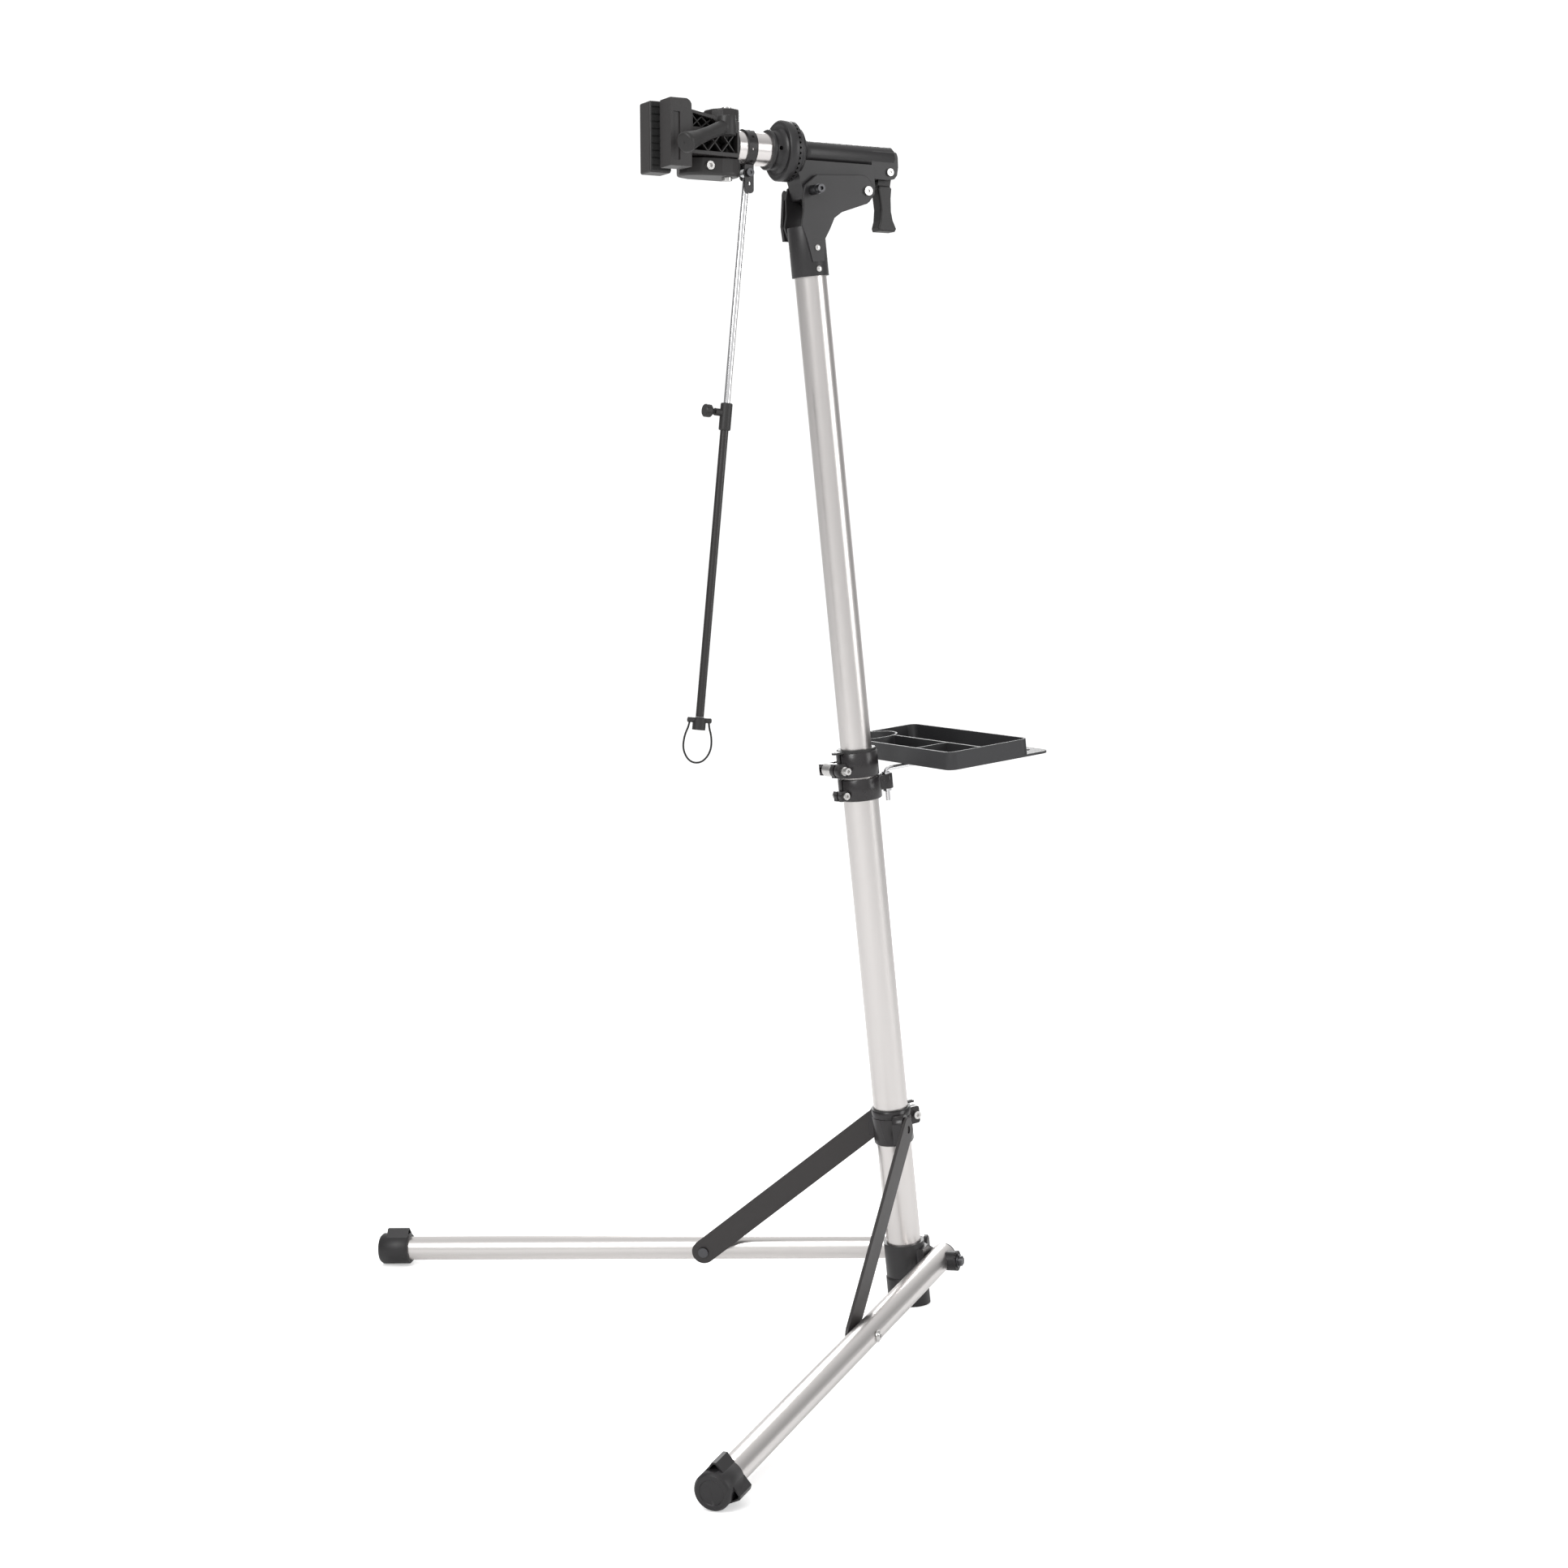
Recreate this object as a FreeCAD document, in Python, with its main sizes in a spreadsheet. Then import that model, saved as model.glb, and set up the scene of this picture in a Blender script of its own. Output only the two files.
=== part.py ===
import FreeCAD, Part
import os
import math
import Sketcher
from FreeCAD import Vector, Rotation, Placement

# Folding bicycle repair stand: leaning telescopic mast, two folding legs with
# struts on a sliding collar, a tool tray, a tilting clamp head and a
# handlebar holder.  Millimetres.  Origin: centre of the mast foot on the
# floor, +X forward (lean, legs, jaws), +Y towards the left leg, +Z up.

doc = FreeCAD.newDocument("repair_stand")
sheet = doc.addObject("Spreadsheet::Sheet", "Dims")

DIMS = [
    ("mast_lean", 6.28), ("lower_radius", 22.5), ("lower_bore", 21.0), ("lower_top", 733.0),
    ("upper_radius", 20.0), ("upper_bore", 18.5), ("upper_low", 605.0), ("upper_high", 1392.0),
    ("foot_radius", 27.5), ("foot_high", 39.0), ("fit_gap", 0.05),
    ("plane_angle", 39.2), ("leg_offset", 46.5), ("hinge_high", 58.7), ("leg_pitch", 1.73),
    ("leg_radius", 16.0), ("leg_bore", 14.4), ("leg_tail", 20.0), ("leg_end", 738.0),
    ("cap_radius", 21.0), ("cap_start", 700.0), ("cap_end", 742.0), ("cap_face", 18.6),
    ("pivot_bolt", 4.0), ("strut_station", 279.0), ("strut_width", 32.0), ("strut_inner", 26.0),
    ("strut_outer", 30.2), ("strut_pin_out", 22.0), ("strut_pin_high", 243.0), ("strut_bolt", 3.0),
    ("slide_low", 220.0), ("slide_high", 266.0), ("slide_radius", 25.6),
    ("clamp_low", 707.0), ("clamp_high", 739.0), ("clamp_radius", 26.5),
    ("tray_ring_low", 677.0), ("tray_ring_high", 705.0), ("tray_ring_radius", 27.5),
    ("tray_rod_back", 40.0), ("tray_floor", 712.0), ("tray_rim", 735.0), ("tray_front", 65.0),
    ("tray_back", 186.0), ("tray_left", 118.0), ("tray_right", 161.0), ("tray_wall", 2.5),
    ("cup_radius", 34.0), ("wire_radius", 3.0),
    ("socket_low", 1335.0), ("socket_high", 1396.0), ("socket_radius", 23.1),
    ("cheek_in", 20.2), ("cheek_out", 24.2), ("tilt_bolt", 4.0), ("tilt_skewer", 3.0),
    ("arm_high", 1477.0), ("housing_radius", 14.8), ("ring_radius", 36.5), ("ring_back", 174.5),
    ("ring_split", 180.5), ("ring_front", 192.0), ("spindle_radius", 20.0), ("spindle_bore", 17.6),
    ("spindle_end", 258.0), ("shaft_radius", 8.0),
    ("jaw_tall_low", 1445.0), ("jaw_tall_high", 1524.0), ("jaw_depth", 28.0), ("jaw_front", 355.0),
    ("pad_thick", 3.5), ("jaw_face", 8.0), ("tension_x", 288.0), ("tension_z", 1493.0),
    ("tension_radius", 3.0), ("strap_x", 236.0), ("strap_width", 14.0), ("strap_radius", 22.4),
    ("holder_high", 1447.0), ("holder_tilt", 5.98), ("rod_radius", 4.1), ("tube_radius", 5.1),
    ("sleeve_radius", 7.4), ("knob_radius", 8.0), ("cord_radius", 1.2),
]
VAL = {}
for i, (alias, value) in enumerate(DIMS):
    sheet.set("A%d" % (i + 1), alias)
    sheet.set("B%d" % (i + 1), repr(value))
    sheet.setAlias("B%d" % (i + 1), alias)
    VAL[alias] = value
doc.recompute()


class Q:
    """A driving value: its number now and its spreadsheet expression."""

    def __init__(self, v, e):
        self.v = float(v)
        self.e = e

    def __add__(self, o):
        o = q(o)
        return Q(self.v + o.v, "(%s + %s)" % (self.e, o.e))

    __radd__ = __add__

    def __sub__(self, o):
        o = q(o)
        return Q(self.v - o.v, "(%s - %s)" % (self.e, o.e))

    def __rsub__(self, o):
        return q(o) - self

    def __mul__(self, o):
        o = q(o)
        return Q(self.v * o.v, "(%s * %s)" % (self.e, o.e))

    __rmul__ = __mul__

    def __truediv__(self, o):
        o = q(o)
        return Q(self.v / o.v, "(%s / %s)" % (self.e, o.e))

    def __neg__(self):
        return Q(-self.v, "(0 - %s)" % self.e)


def q(x):
    if isinstance(x, Q):
        return x
    return Q(x, "%.5f" % x if x >= 0 else "(0 - %.5f)" % -x)


def D(alias):
    return Q(VAL[alias], "Dims." + alias)


def bind(obj, prop, x):
    if isinstance(x, Q):
        setattr(obj, prop, x.v)
        obj.setExpression(prop, x.e)
    else:
        setattr(obj, prop, float(x))


def P(x=0.0, y=0.0, z=0.0, axis=None, ang=0.0):
    rot = Rotation(Vector(*axis), ang) if axis else Rotation()
    return Placement(Vector(*[float(c.v) if isinstance(c, Q) else float(c) for c in (x, y, z)]), rot)


XX, YY, ZZ = (1, 0, 0), (0, 1, 0), (0, 0, 1)
ALONG_X = Rotation(Vector(0, 1, 0), 90)     # local z -> +x
ALONG_Y = Rotation(Vector(1, 0, 0), -90)    # local z -> +y
ID = Placement()
COUNT = [0]


def tag(base):
    COUNT[0] += 1
    return "%s_%03d" % (base, COUNT[0])


def cyl(r, length, at=(0, 0, 0), rot=None, frame=ID):
    o = doc.addObject("Part::Cylinder", tag("cyl"))
    bind(o, "Radius", r)
    bind(o, "Height", length)
    o.Placement = frame * Placement(Vector(*[q(c).v for c in at]), rot or Rotation())
    return o


def cone(r1, r2, length, at=(0, 0, 0), rot=None, frame=ID):
    o = doc.addObject("Part::Cone", tag("cone"))
    bind(o, "Radius1", r1)
    bind(o, "Radius2", r2)
    bind(o, "Height", length)
    o.Placement = frame * Placement(Vector(*[q(c).v for c in at]), rot or Rotation())
    return o


def sphere(r, at, frame=ID):
    o = doc.addObject("Part::Sphere", tag("sph"))
    bind(o, "Radius", r)
    o.Placement = frame * Placement(Vector(*[q(c).v for c in at]), Rotation())
    return o


def box(x0, x1, y0, y1, z0, z1, frame=ID):
    o = doc.addObject("Part::Box", tag("box"))
    bind(o, "Length", q(x1) - q(x0))
    bind(o, "Width", q(y1) - q(y0))
    bind(o, "Height", q(z1) - q(z0))
    o.Placement = frame * P(q(x0), q(y0), q(z0))
    return o


def cut(a, b):
    o = doc.addObject("Part::Cut", tag("cut"))
    o.Base = a
    o.Tool = b
    return o


def cuts(a, tools):
    for b in tools:
        a = cut(a, b)
    return a


def fuse(items):
    if len(items) == 1:
        return items[0]
    o = doc.addObject("Part::MultiFuse", tag("fuse"))
    o.Shapes = list(items)
    o.Refine = True
    return o


def common(a, b):
    o = doc.addObject("Part::MultiCommon", tag("com"))
    o.Shapes = [a, b]
    return o


def sketch(body, role, pts):
    sk = doc.addObject("Sketcher::SketchObject", tag("sk"))
    body.addObject(sk)
    for f in body.Origin.OriginFeatures:
        if f.Role == role:
            sk.AttachmentSupport = [(f, "")]
    sk.MapMode = "FlatFace"
    n = len(pts)
    pts = [(q(x), q(y)) for x, y in pts]
    for k in range(n):
        a, b = pts[k], pts[(k + 1) % n]
        sk.addGeometry(Part.LineSegment(Vector(a[0].v, a[1].v, 0), Vector(b[0].v, b[1].v, 0)), False)
    for k in range(n):
        sk.addConstraint(Sketcher.Constraint("Coincident", k, 2, (k + 1) % n, 1))
    for k, (x, y) in enumerate(pts):
        for kind, val, axis in (("DistanceX", x, -2), ("DistanceY", y, -1)):
            if abs(val.v) < 1e-9:
                sk.addConstraint(Sketcher.Constraint("PointOnObject", k, 1, axis))
            else:
                c = sk.addConstraint(Sketcher.Constraint(kind, -1, 1, k, 1, val.v))
                if "Dims." in val.e:
                    sk.setExpression("Constraints[%d]" % c, val.e)
    return sk


def rev(pts, frame=ID):
    """Turned part: pts are (radius, height); the axis is local Z."""
    b = doc.addObject("PartDesign::Body", tag("turned"))
    sk = sketch(b, "XZ_Plane", pts)
    r = doc.addObject("PartDesign::Revolution", tag("rev"))
    b.addObject(r)
    r.Profile = sk
    r.ReferenceAxis = (sk, ["V_Axis"])
    r.Angle = 360.0
    sk.Visibility = False
    b.Placement = frame
    return b


def prism(pts, height, frame=ID):
    """Plate: pts outline in local XY, padded towards +Z."""
    b = doc.addObject("PartDesign::Body", tag("plate"))
    sk = sketch(b, "XY_Plane", pts)
    p = doc.addObject("PartDesign::Pad", tag("pad"))
    b.addObject(p)
    p.Profile = sk
    bind(p, "Length", height)
    b.Placement = frame
    return b


def side(pts, y0, y1, frame=ID):
    """Plate outlined in XZ, between y0 and y1."""
    return prism(pts, q(y1) - q(y0), frame * Placement(Vector(0, q(y1).v, 0), Rotation(Vector(1, 0, 0), 90)))


def ring(ro, ri, z0, z1, frame=ID):
    return rev([(ri, z0), (ro, z0), (ro, z1), (ri, z1)], frame)


def rounded(base, pred, radius):
    """Edge rounding on the edges pred picks; left square if it can't be made."""
    doc.recompute()
    picks = []
    for k, e in enumerate(base.Shape.Edges):
        if pred(e):
            picks.append((k + 1, float(radius), float(radius)))
    if not picks:
        print("round: no edges on", base.Name)
        return base
    o = doc.addObject("Part::Fillet", tag("round"))
    o.Base = base
    o.Edges = picks
    doc.recompute()
    if o.Shape.isNull() or not o.Shape.isValid() or "Invalid" in o.State or abs(o.Shape.Volume) < 0.5 * base.Shape.Volume:
        print("round failed on", base.Name, len(picks))
        doc.removeObject(o.Name)
        return base
    return o


def feature(shape):
    o = doc.addObject("Part::Feature", tag("shape"))
    o.Shape = shape
    return o


NODES = []


def node(label, obj, mirror=None):
    obj.Label = label
    NODES.append((label, obj))
    if mirror:
        m = doc.addObject("Part::Mirroring", tag("mirror"))
        m.Source = obj
        m.Base = (0, 0, 0)
        m.Normal = (0, 1, 0)
        m.Label = mirror
        NODES.append((mirror, m))
    return obj


def vertical(e):
    if len(e.Vertexes) != 2:
        return False
    a, b = e.Vertexes[0].Point, e.Vertexes[1].Point
    return e.Curve.TypeId == "Part::GeomLine" and (b - a).normalize().getAngle(Vector(0, 0, 1)) % math.pi < 0.01


def along(e, v, tol=0.02):
    if e.Curve.TypeId != "Part::GeomLine" or len(e.Vertexes) != 2:
        return False
    a, b = e.Vertexes[0].Point, e.Vertexes[1].Point
    d = (b - a)
    if d.Length < 1e-6:
        return False
    d.normalize()
    return abs(d.dot(v)) > 1 - tol * tol


L = VAL["mast_lean"]
MAST = Placement(Vector(0, 0, 0), Rotation(Vector(0, 1, 0), L))
MZ = MAST.Rotation.multVec(Vector(0, 0, 1))
PHI = VAL["plane_angle"]
sp, cp = math.sin(math.radians(PHI)), math.cos(math.radians(PHI))
A = VAL["leg_offset"]
# left fold plane: x along the plane, y outward, z along the mast, origin on the leg hinge
FOLD = MAST * Placement(Vector(-A * sp, A * cp, VAL["hinge_high"]), Rotation(Vector(0, 0, 1), PHI))
LEG = FOLD * Placement(Vector(0, 0, 0), Rotation(Vector(0, 1, 0), -VAL["leg_pitch"]))
LEGX = LEG * Placement(Vector(0, 0, 0), ALONG_X)   # local z along the leg

g = D("fit_gap")

# ---------------------------------------------------------------- mast
foot = rev([(0, -5), (D("foot_radius") - 1.5, -5), (D("foot_radius"), -3), (D("foot_radius"), D("foot_high") - 2.5),
            (D("foot_radius") - 2, D("foot_high")), (D("lower_radius") + g, D("foot_high")),
            (D("lower_radius") + g, 6), (0, 6)], MAST)
foot = cut(foot, box(-60, 60, -60, 60, -40, 0))
node("mast_foot", foot)
node("lower_tube", ring(D("lower_radius"), D("lower_bore"), 6, D("lower_top"), MAST))

t_end = 12.0
apex_q, apex_y = -42.0, (30.2 - 0.632 * 42.0) / cp
o_q, o_y = -30.2 * sp + t_end * cp, 30.2 * cp + t_end * sp
brk = prism([(o_q, o_y), (apex_q, apex_y), (apex_q, -apex_y), (o_q, -o_y), (o_q + 6, -o_y + 3), (4, -20), (4, 20),
             (o_q + 6, o_y - 3)], 36, MAST * P(0, 0, 41))
brk = fuse([brk, ring(26.5, 20.0, 39.4, 84, MAST)])
brk = cut(brk, cyl(D("lower_radius") + g, 80, (0, 0, 20), None, MAST))
# sloping top at the rear
brk = cut(brk, box(-70, 0, -60, 60, 0, 40, MAST * Placement(Vector(-24, 0, 78), Rotation(Vector(0, 1, 0), -38))))
for sgn in (1, -1):
    fr = MAST * Placement(Vector(-A * sp, sgn * A * cp, VAL["hinge_high"]), Rotation(Vector(0, 0, 1), sgn * PHI))
    rot = ALONG_Y if sgn > 0 else Rotation(Vector(1, 0, 0), 90)
    brk = cut(brk, cyl(D("pivot_bolt") + g, 24, (0, sgn * (-A + 23.2), 0), rot, fr))
node("leg_bracket", brk)

lb = fuse([cyl(D("pivot_bolt"), 56, (0, -22.5, 0), ALONG_Y, FOLD),
           cyl(9.0, 1.9, (0, 26.6, 0), ALONG_Y, FOLD),
           cyl(6.6, 3.6, (0, 28.5, 0), ALONG_Y, FOLD), cone(6.4, 4.6, 1.6, (0, 32.1, 0), ALONG_Y, FOLD)])
node("left_leg_bolt", lb, "right_leg_bolt")

# ---------------------------------------------------------------- legs
leg = rev([(D("leg_bore"), -D("leg_tail")), (D("leg_radius"), -D("leg_tail")), (D("leg_radius"), D("leg_end")),
           (D("leg_bore"), D("leg_end"))], LEGX)
leg = cut(leg, cyl(D("pivot_bolt") + g, 50, (0, -25, 0), ALONG_Y, LEG))
leg = cut(leg, cyl(D("strut_bolt") + g, 50, (D("strut_station"), -25, 0), ALONG_Y, LEG))
node("left_leg_tube", leg, "right_leg_tube")

R0 = D("leg_radius")
cap = rev([(0, D("leg_end")), (R0 + g, D("leg_end")), (R0 + g, D("cap_start")), (D("cap_radius") - 1.6, D("cap_start")),
           (D("cap_radius"), D("cap_start") + 2), (D("cap_radius"), D("cap_end") - 3.2), (D("cap_face"), D("cap_end")),
           (D("cap_face") - 4.5, D("cap_end")), (D("cap_face") - 5.2, D("cap_end") - 0.8), (0, D("cap_end") - 0.8)], LEGX)
lugs = []
for ang in (88.0, -17.0):
    # triangular hollow lug: outline across the leg, direction "ang" from outward, up positive
    fr = LEGX * Placement(Vector(0, 0, 0), Rotation(Vector(0, 0, 1), 90.0))
    # local here: z along the leg; x -> outward? found by rotation below
    base = LEG * Placement(Vector(0, 0, 0), Rotation(Vector(1, 0, 0), ang)) * Placement(Vector(0, 0, 0), Rotation(Vector(0, 0, 1), 90) * Rotation(Vector(1, 0, 0), 90))
    outer = prism([(18.0, -10.5), (28.5, -2.4), (28.5, 2.4), (18.0, 10.5)], 30, base * P(0, 0, VAL["cap_start"] + 1.0))
    inner = prism([(20.6, -6.2), (26.6, -1.3), (26.6, 1.3), (20.6, 6.2)], 34, base * P(0, 0, VAL["cap_start"] - 1.0))
    lugs.append((outer, inner))
cap = fuse([cap] + [a for a, b in lugs])
cap = cuts(cap, [cyl(R0 + g, 38, (0, 0, D("cap_start")), None, LEGX)])
cap = cuts(cap, [b for a, b in lugs])
node("left_leg_cap", cap, "right_leg_cap")

plug = rev([(0, -25), (13.4, -25), (15.4, -23.6), (15.4, -D("leg_tail")), (D("leg_bore") - g, -D("leg_tail")),
            (D("leg_bore") - g, -7), (10, -7), (10, -19), (0, -19)], LEGX)
node("left_leg_plug", plug, "right_leg_plug")

sad = cyl(13.0, 15.0, (0, 11.5, 0), ALONG_Y, LEG)
sad = cuts(sad, [cyl(R0 + g, 60, (-30, 0, 0), ALONG_X, LEG), cyl(D("pivot_bolt") + g, 30, (0, 5, 0), ALONG_Y, LEG)])
for k in range(-4, 5):
    if k:
        sad = cut(sad, box(2.7 * k - 0.45, 2.7 * k + 0.45, 24.4, 27, -14, 14, LEG))
node("left_leg_saddle", sad, "right_leg_saddle")

st = VAL["strut_station"]
sb = fuse([cyl(D("strut_bolt"), 41.9, (st, -23.4, 0), ALONG_Y, LEG),
           cyl(6.8, 2.6, (st, -23.4, 0), ALONG_Y, LEG),
           cyl(7.4, 1.2, (st, R0 + 0.2, 0), ALONG_Y, LEG), cone(6.4, 4.2, 2.4, (st, R0 + 1.4, 0), ALONG_Y, LEG)])
sb = cut(sb, cyl(2.4, 2.0, (st, 18.2, 0), ALONG_Y, LEG))
node("left_strut_bolt", sb, "right_strut_bolt")

# ---------------------------------------------------------------- struts
rp = math.radians(VAL["leg_pitch"])
px, pz = st * math.cos(rp), st * math.sin(rp)
cx, cz = VAL["strut_pin_out"], VAL["strut_pin_high"] - VAL["hinge_high"]
R = math.hypot(px - cx, pz - cz)
ang = math.degrees(math.atan2(cz - pz, cx - px))
STRUT = FOLD * Placement(Vector(px, 0, pz), Rotation(Vector(0, 1, 0), -ang))  # x towards the collar pin
w2 = D("strut_width") / 2
y0, y1 = D("strut_inner") - A, D("strut_outer") - A
th = D("strut_outer") - D("strut_inner")
bar = fuse([box(0, R, -1 * w2.v, w2.v, 0, th.v, STRUT * Placement(Vector(0, y1.v, 0), Rotation(Vector(1, 0, 0), 90))),
            cyl(w2, th, (0, y0, 0), ALONG_Y, STRUT), cyl(w2, th, (R, y0, 0), ALONG_Y, STRUT)])
doc.recompute()
ny = FOLD.Rotation.multVec(Vector(0, 1, 0))


def rim(e):
    # every edge lying in one of the strut's two flat faces
    ds = [(v.Point - FOLD.Base).dot(ny) for v in e.Vertexes]
    return all(abs(d - y0.v) < 1e-3 for d in ds) or all(abs(d - y1.v) < 1e-3 for d in ds)


bar = rounded(bar, rim, 1.1)
bar = cuts(bar, [cyl(D("strut_bolt") + g, 20, (0, y0 - 5, 0), ALONG_Y, STRUT),
                 cyl(5.0, 20, (R, y0 - 5, 0), ALONG_Y, STRUT)])
pin = rev([(0, y0 + 0.1), (5.2, y0 + 0.1), (5.2, y1 - 2.4), (4.4, y1 - 1.6), (2.6, y1 - 1.4), (0, y1 - 1.2)],
          STRUT * Placement(Vector(R, 0, 0), ALONG_Y))
node("left_strut", fuse([bar, pin]), "right_strut")

# ---------------------------------------------------------------- sliding collar
SL, SH = D("slide_low"), D("slide_high")
sc = rev([(22.95, SL), (D("slide_radius") - 1.2, SL), (D("slide_radius"), SL + 1.6), (D("slide_radius"), SH - 10.4),
          (24.5, SH - 10.0), (24.5, SH - 8.6), (D("slide_radius"), SH - 8.2), (D("slide_radius"), SH - 1.2),
          (D("slide_radius") - 1.0, SH), (22.95, SH)], MAST)
adds = [sc, box(-39, -22, -6.0, 6.0, 238, 261, MAST)]
for sgn in (1, -1):
    fr = MAST * Placement(Vector(0, 0, 0), Rotation(Vector(0, 0, 1), sgn * PHI))
    s0 = 12.0 if sgn > 0 else -25.7
    adds.append(box(9, 34, s0, s0 + 13.7, 226, 250, fr))
    rot = ALONG_Y
    adds.append(cyl(12.5, 13.7, (21.5, s0, 250), rot, fr))
sc = fuse(adds)
sc = cuts(sc, [cyl(22.95, 80, (0, 0, 200), None, MAST), box(-45, -20, -1.2, 1.2, 200, 290, MAST),
               cyl(2.9, 40, (-33, -20, 250), ALONG_Y, MAST)])
ex = MAST.Rotation.multVec(Vector(1, 0, 0))
sc = rounded(sc, lambda e: along(e, Vector(0, 1, 0)) and MAST.inverse().multVec(e.CenterOfMass).x < -36, 3.5)
node("slide_collar", sc)
sbush = rev([(22.56, SL + 0.2), (22.9, SL + 0.2), (22.9, SH), (25.0, SH), (25.4, SH + 1.4), (22.56, SH + 1.4)], MAST)
sbush = fuse([sbush, box(-34, -22.7, -3, 3, 266.0, 268.6, MAST)])
sbush = cuts(sbush, [box(-45, -20, -1.2, 1.2, 200, 290, MAST), cyl(22.56, 80, (0, 0, 200), None, MAST)])
node("slide_bush", sbush)
sk1 = fuse([cyl(2.8, 24, (-33, -13, 250), ALONG_Y, MAST), cyl(5.2, 5.2, (-33, 6.1, 250), ALONG_Y, MAST),
            rev([(0, -6.1), (7.0, -6.1), (7.4, -6.8), (7.0, -8.0), (0, -8.0)], MAST * Placement(Vector(-33, 0, 250), ALONG_Y))])
sk1 = cut(sk1, cyl(2.2, 3, (-33, 9.0, 250), ALONG_Y, MAST))
node("slide_skewer", sk1)
lv = fuse([cyl(4.7, 11, (-38.5, -13.0, 250), ALONG_X, MAST),
           box(-38.5, -27.5, -17.6, -13.0, 214, 250, MAST),
           cyl(5.5, 4.6, (-33, -17.6, 214), ALONG_Y, MAST)])
lv = cut(lv, box(-36.0, -30.0, -16.0, -2, 240, 262, MAST))
lv = rounded(lv, lambda e: along(e, MZ) and e.Length > 20, 1.6)
node("slide_lever", lv)

# ---------------------------------------------------------------- height clamp
HC = MAST * Placement(Vector(0, 0, 0), Rotation(Vector(0, 0, 1), 8.0))
CL, CH = D("clamp_low"), D("clamp_high")
hc = rev([(22.0, CL), (D("clamp_radius") - 0.8, CL), (D("clamp_radius"), CL + 1), (D("clamp_radius"), CH - 1.2),
          (D("clamp_radius") - 1.2, CH), (22.0, CH)], HC)
hc = fuse([hc, box(22, 37, -8.5, 8.5, 709, 727, HC), cyl(9.0, 17, (31, -8.5, 718), ALONG_Y, HC)])
hc = cuts(hc, [cyl(22.55, 60, (0, 0, 690), None, HC), box(18, 45, -1.2, 1.2, 690, 760, HC),
               cyl(2.9, 40, (31, -20, 718), ALONG_Y, HC), cyl(8.8, 19, (31, -27.55, 718), ALONG_Y, HC),
               cyl(5.8, 14, (31, 8.55, 718), ALONG_Y, HC)])
node("height_collar", hc)
hb = rev([(20.06, 690), (20.94, 690), (20.94, 733.1), (22.4, 733.1), (22.4, 739.1), (25.2, 739.1), (25.2, 741.6),
          (24.4, 742.4), (20.06, 742.4)], HC)
hb = fuse([hb, prism([(20.5, -7), (36, -4.5), (38, -2.5), (38, 2.5), (36, 4.5), (20.5, 7)], 2.6, HC * P(0, 0, 739.1))])
hb = cuts(hb, [cyl(20.06, 90, (0, 0, 680), None, HC), box(18, 45, -1.1, 1.1, 680, 738.5, HC)])
node("height_bush", hb)
sk2 = fuse([rev([(0, -8.6), (8.0, -8.6), (8.6, -10), (8.6, -25), (7.2, -26.5), (0, -26.5)],
                HC * Placement(Vector(31, 0, 718), ALONG_Y)), cyl(2.8, 50, (31, -33, 718), ALONG_Y, HC), cyl(5.6, 4.2, (31, 8.6, 718), ALONG_Y, HC),
            cyl(4.5, 7.2, (31, 12.8, 718), ALONG_Y, HC)])
sk2 = cut(sk2, cyl(2.0, 4, (31, 16.5, 718), ALONG_Y, HC))
node("height_skewer", sk2)
hl = fuse([cyl(5.4, 14.5, (31, -32.4, 710.75), None, HC), box(3, 31, -38.4, -33.0, 711.5, 724.5, HC),
           cyl(6.5, 5.4, (3, -38.4, 718), ALONG_Y, HC)])
hl = cut(hl, box(24, 40, -35.6, -20, 714.6, 721.4, HC))
node("height_lever", hl)

# ---------------------------------------------------------------- tray clamp and tray
TL, TH = D("tray_ring_low"), D("tray_ring_high")
TB = D("tray_rod_back")
tc = rev([(22.0, TL), (D("tray_ring_radius") - 1, TL), (D("tray_ring_radius"), TL + 1.2), (D("tray_ring_radius"), TH - 1.2),
          (D("tray_ring_radius") - 1, TH), (22.0, TH)], HC)
tc = fuse([tc, box(22, 37, -8, 8, 679, 692, HC), cyl(6.5, 16, (31, -8, 685.5), ALONG_Y, HC),
           box(-1 * TB, -22, -6.5, 6.5, 684, 702.3, MAST), cyl(8.2, 18.5, (-1 * TB, 0, 684), None, MAST)])
tc = cuts(tc, [cyl(22.55, 60, (0, 0, 660), None, HC), box(18, 45, -1.2, 1.2, 660, 720, HC),
               cyl(3.05, 40, (31, -20, 685.5), ALONG_Y, HC), cyl(5.4, 5, (31, -13.1, 685.5), ALONG_Y, HC),
               cyl(4.8, 5, (31, 8.05, 685.5), ALONG_Y, HC), cyl(D("wire_radius") + g, 60, (-1 * TB, 0, 660), None, MAST)])
node("tray_collar", tc)
tb = fuse([cyl(3.0, 26, (31, -13, 685.5), ALONG_Y, HC), cyl(4.6, 4.0, (31, 8.1, 685.5), ALONG_Y, HC),
           cyl(5.2, 4.0, (31, -12.2, 685.5), ALONG_Y, HC)])
tb = cut(tb, cyl(2.0, 3, (31, 10.4, 685.5), ALONG_Y, HC))
node("tray_collar_bolt", tb)

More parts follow.
